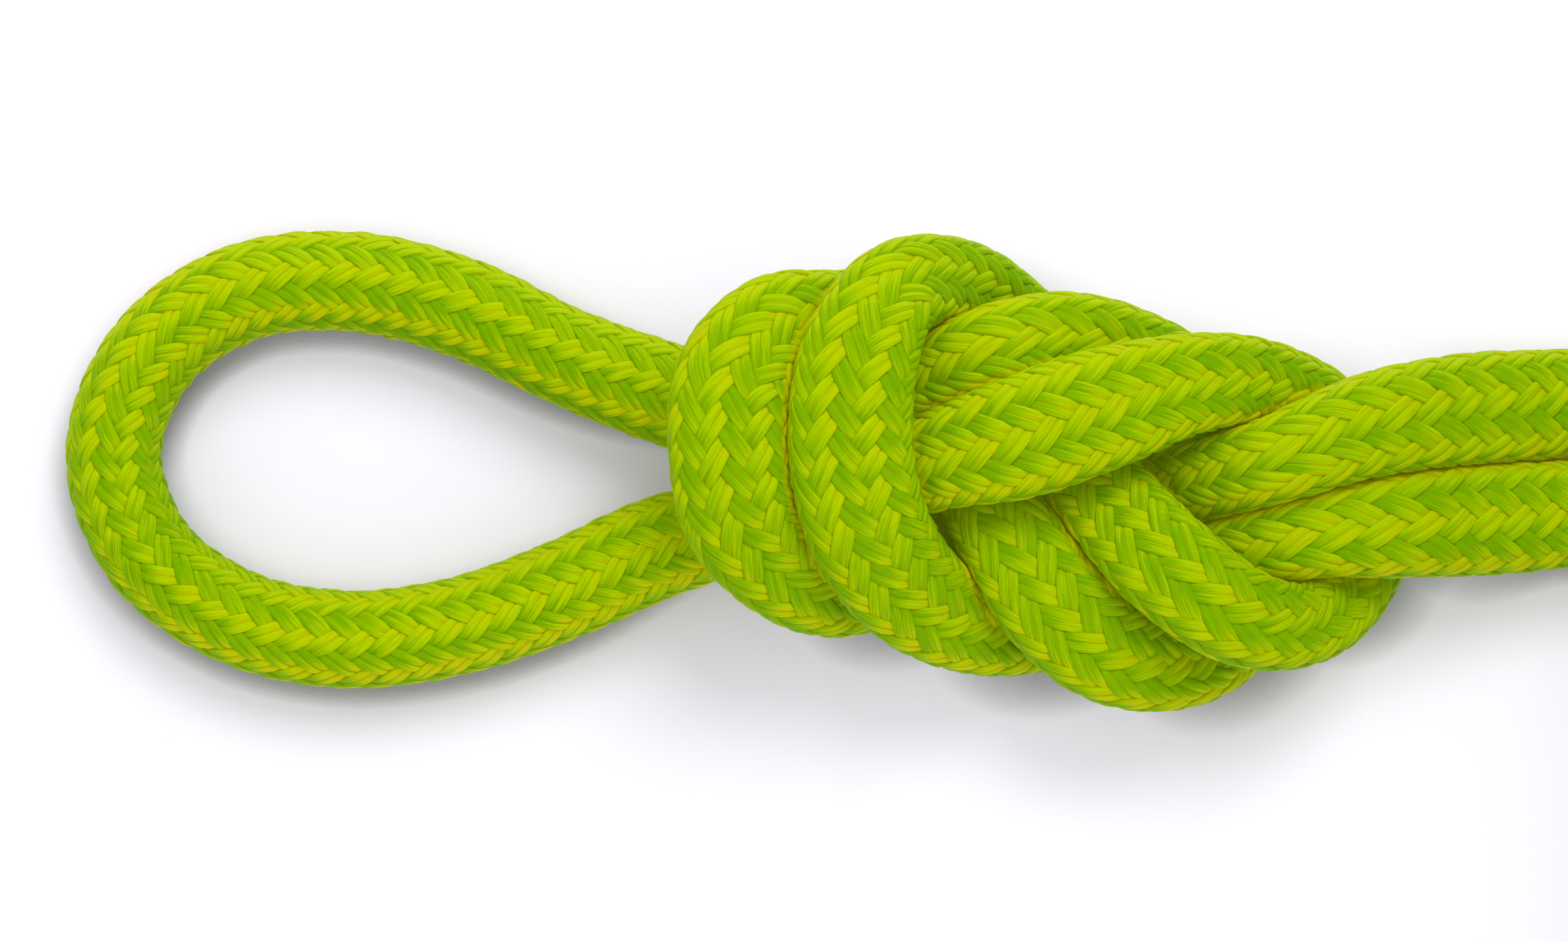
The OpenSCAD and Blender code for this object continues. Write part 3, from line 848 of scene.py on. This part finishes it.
def hank_material():
    """The same braid, worked out from the place around (x) and along (y) the rope."""
    N = Nodes("rope_hank")
    x, y = N.uv("braid")
    wave = N.math("COSINE", N.mul(N.sub(x, 0.5), math.pi / 2))

    def across(v):
        """-1 to 1 across each carrier's place of two units."""
        return N.sub(N.mul(N.math("FRACT", N.add(N.mul(v, 0.5), 0.5)), 2.0), 1.0)

    def crown(v, w):
        """Height of a float that is v off its middle."""
        return N.sub(w, N.math("POWER", N.math("ABSOLUTE", v), 3.0))

    right, left = across(N.sub(x, y)), across(N.add(x, y))
    high_right, high_left = crown(right, wave), crown(left, N.mul(wave, -1.0))
    top = N.math("MAXIMUM", high_right, high_left)
    left_top = N.math("GREATER_THAN", high_left, high_right)

    def either(right, left):
        """The value of the family that lies on top here."""
        n = N.new("ShaderNodeMix", data_type="FLOAT")
        for i, v in ((0, left_top), (2, right), (3, left)):
            N.put(n.inputs[i], v)
        return n.outputs[0]

    ph = either(N.mul(N.sub(x, 0.5), 0.25), N.mul(N.sub(x, 2.5), 0.25))
    carrier = either(N.math("ROUND", N.mul(N.sub(x, y), 0.5)),
                     N.add(N.math("ROUND", N.mul(N.add(x, y), 0.5)), 37.0))
    col, fibre = yarn_colour(N, either(right, left), ph, carrier, either(*N.uv("slant")),
                             either(*N.uv("carrier")), rim_light_share=0.5)
    # painted shade in the hollows between the floats
    col = N.mix(N.mapr(top, -0.45, 0.15, 0.9, 0.0, True), col, CREASE_SHADE)
    N.look(Base_Color=col, Normal=N.bump(top, 0.00045, 1.0, N.bump(fibre, 0.00005, 0.6)))
    nylon_finish_and_glow(N)
    return N.mat


def core_material():
    """Plied white nylon."""
    N = Nodes("core_yarn")
    ply = N.new("ShaderNodeTexWave", wave_type="BANDS", bands_direction="DIAGONAL")
    N.link(N.place(), ply.inputs["Vector"])
    for name, value in (("Scale", 700), ("Distortion", 1.5), ("Detail", 2)):
        ply.inputs[name].default_value = value
    ply = ply.outputs["Fac"]
    N.look(Base_Color=N.mix(ply, srgb(214, 212, 200), srgb(246, 245, 238)), Roughness=0.75,
           Normal=N.bump(ply, 0.0002, 0.7))
    return N.mat


def thread_material():
    """Dyed yarn."""
    N = Nodes("id_thread_yarn")
    N.look(Base_Color=N.mix(N.noise(N.place(), 2500.0), srgb(150, 12, 12), srgb(214, 40, 34)), Roughness=0.7)
    return N.mat


def sleeve_material():
    """Shrunk film, a little uneven."""
    N = Nodes("end_sleeve_film")
    place = N.place()
    uneven, fine = N.noise(place, 420.0, 3.0), N.noise(place, 2600.0)
    N.look(Base_Color=N.mix(uneven, srgb(58, 66, 30), srgb(84, 94, 40)),
           Roughness=N.mapr(fine, 0.3, 0.7, 0.38, 0.52), Normal=N.bump(uneven, 0.0003, 0.5))
    return N.mat


def seal_material():
    """Nylon that has melted and set."""
    N = Nodes("end_seal_melt")
    uneven = N.noise(N.place(), 700.0, 3.0)
    N.look(Base_Color=N.mix(uneven, srgb(96, 110, 10), srgb(150, 158, 40)), Roughness=0.35,
           Normal=N.bump(uneven, 0.0006, 0.8))
    return N.mat


def carried(mat, *names):
    """Puts a material on CAD nodes that are carried over as they are."""
    for name in names:
        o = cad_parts[name]
        if o.material_slots:
            for slot in o.material_slots:
                slot.link = "DATA"
                slot.material = mat
        else:
            o.data.materials.append(mat)


for mat in (braid_material(), under_material(), hank_material()):
    me.materials.append(mat)
carried(core_material(), *(f"core_strand_{i}" for i in range(1, 8)))
carried(thread_material(), "id_thread")
carried(sleeve_material(), "tail_end_sleeve", "free_end_sleeve")
carried(seal_material(), "tail_end_seal", "free_end_seal")


# ---------------------------------------------------------------- floor, light, camera
def floor_material():
    """White paper that is whiter, and darker close under the rope, to the camera than to the rope: the
    camera sees a painted glow and a painted contact shadow.
    """
    N = Nodes("floor_paper")
    N.look(Roughness=0.9, Specular_IOR_Level=0.0)
    paths = N.new("ShaderNodeLightPath").outputs
    seen = N.math("MAXIMUM", paths["Is Camera Ray"], paths["Is Glossy Ray"])
    x, y, _ = N.geometry("Position")
    paper = N.mix(N.noise(N.place(), 30.0), (0.935, 0.885, 0.99, 1), (0.95, 0.905, 1.0, 1))
    # the painted contact shadow, which reaches further under the knot; its side is the one away from the
    # light
    under_knot = N.mul(N.mapr(x, 0.026, 0.038, smooth=True), N.mapr(x, 0.100, 0.112, 1.0, 0.0, True))
    reach = N.math("MULTIPLY_ADD", under_knot, 0.0022, 0.0039)
    painted_contact_shadow = N.mapr(N.shelter(reach, (-0.10, 0.78, 0.61)), 0.52, 0.94, 0.38, 1.0)
    # near the rope the paper is given a painted tint against the green light that the rope throws on it
    white_paper = N.mix(N.shelter(0.03), (0.86, 0.79, 1.0, 1), (0.95, 0.925, 0.975, 1))
    seen_paper = N.mix(painted_contact_shadow, (0, 0, 0, 1), white_paper)
    N.look(Base_Color=N.mix(seen, paper, seen_paper))
    # painted light: a glow seen by the camera only, stronger to the right and above the rope where the hank
    # and the rope shade the paper, and weaker in the painted contact shadow
    glow = N.new("ShaderNodeEmission")
    glow.inputs["Color"].default_value = (0.80, 0.76, 0.98, 1)
    shade = N.add(N.mapr(x, 0.015, 0.06, 0.09, 0.22, True), N.mapr(y, -0.005, 0.02, 0.0, 0.10, True))
    N.link(N.mul(N.mul(seen, shade), painted_contact_shadow), glow.inputs["Strength"])
    both = N.new("ShaderNodeAddShader")
    N.link(N.bsdf.outputs[0], both.inputs[0])
    N.link(glow.outputs[0], both.inputs[1])
    N.link(both.outputs[0], N.t.nodes["Material Output"].inputs["Surface"])
    return N.mat


def studio_world():
    """Soft light from all round, and plain white to the camera and in reflections."""
    world = bpy.data.worlds.new("studio")
    world.use_nodes = True
    nodes, links = world.node_tree.nodes, world.node_tree.links
    soft, white = nodes["Background"], nodes.new("ShaderNodeBackground")
    for background, colour, strength in ((soft, (0.98, 0.97, 1.0, 1), 0.82), (white, (1, 1, 1, 1), 1.0)):
        background.inputs["Color"].default_value = colour
        background.inputs["Strength"].default_value = strength
    paths = nodes.new("ShaderNodeLightPath").outputs
    seen = paths["Is Camera Ray"]
    for kind in ("Is Glossy Ray", "Is Transmission Ray"):
        either = nodes.new("ShaderNodeMath")
        either.operation = "MAXIMUM"
        links.new(seen, either.inputs[0])
        links.new(paths[kind], either.inputs[1])
        seen = either.outputs[0]
    mix = nodes.new("ShaderNodeMixShader")
    for i, source in enumerate((seen, soft.outputs[0], white.outputs[0])):
        links.new(source, mix.inputs[i])
    links.new(mix.outputs[0], nodes["World Output"].inputs["Surface"])
    return world


def sun(name, strength, direction, angle, colour=(1, 1, 1)):
    """The direction points towards the light. A wide angle gives soft shadows."""
    data = bpy.data.lights.new(name, "SUN")
    data.energy = strength
    data.angle = math.radians(angle)
    data.color = colour
    o = bpy.data.objects.new(name, data)
    bpy.context.scene.collection.objects.link(o)
    o.rotation_mode = "QUATERNION"
    o.rotation_quaternion = Vector(direction).to_track_quat("Z", "Y")


def camera(name, place, lens):
    """Looks straight down."""
    data = bpy.data.cameras.new(name)
    data.type = "PERSP"
    data.sensor_width = 36
    data.lens = lens
    data.clip_start, data.clip_end = 0.01, 100
    o = bpy.data.objects.new(name, data)
    o.location = place
    bpy.context.scene.collection.objects.link(o)
    bpy.context.scene.camera = o


bpy.ops.mesh.primitive_plane_add(size=30, location=(0, 0, 0))
floor = bpy.context.active_object
floor.name = "floor"
floor.data.materials.append(floor_material())
bpy.context.scene.world = studio_world()
sun("key", 1.24, (0.26, 0.78, 1.0), 30)
sun("edge", 0.38, (0.45, -0.95, 0.13), 25, (1.0, 0.90, 0.72))
camera("camera", (0.0346, 0, 0.900), 208.7)
bpy.context.scene.view_settings.view_transform = "Standard"
